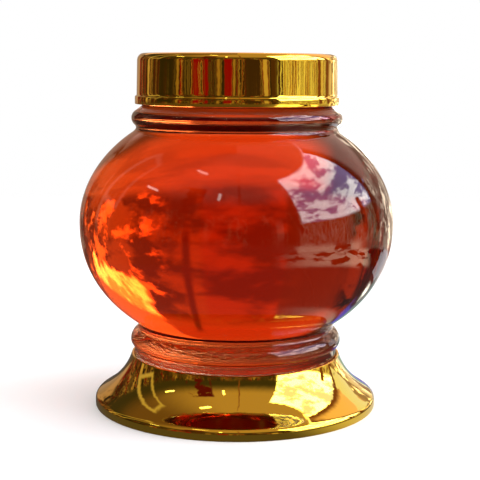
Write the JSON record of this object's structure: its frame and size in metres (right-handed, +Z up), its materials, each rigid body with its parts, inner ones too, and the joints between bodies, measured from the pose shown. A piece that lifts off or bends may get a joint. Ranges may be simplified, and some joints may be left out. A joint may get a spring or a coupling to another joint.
{
  "type": "liquor infusion jar",
  "caption": "Round clear glass jar of clear orange-red infused liquor on a flared gold-plated stand, closed by a gold-plated screw lid.",
  "frame": {"origin": "on the surface that the stand rests on, at the jar's axis", "axes": "+Z up along the axis that every piece is turned about, from the stand to the lid; +X and +Y lie on the table and are alike, and the picture looks along +Y"},
  "size_m": [0.235, 0.235, 0.2643],
  "materials": {
    "gold_stand": "mirror-bright gold plating over moulded plastic",
    "clear_glass": "clear fire-polished soda-lime glass",
    "liquor": "clear orange-red liquor",
    "gold_lid": "mirror-bright gold plating over moulded plastic"
  },
  "bodies": {
    "root": {"stand": "gold_stand", "jar": "clear_glass", "liquor": "liquor", "lid": "gold_lid"}
  },
  "joints": []
}
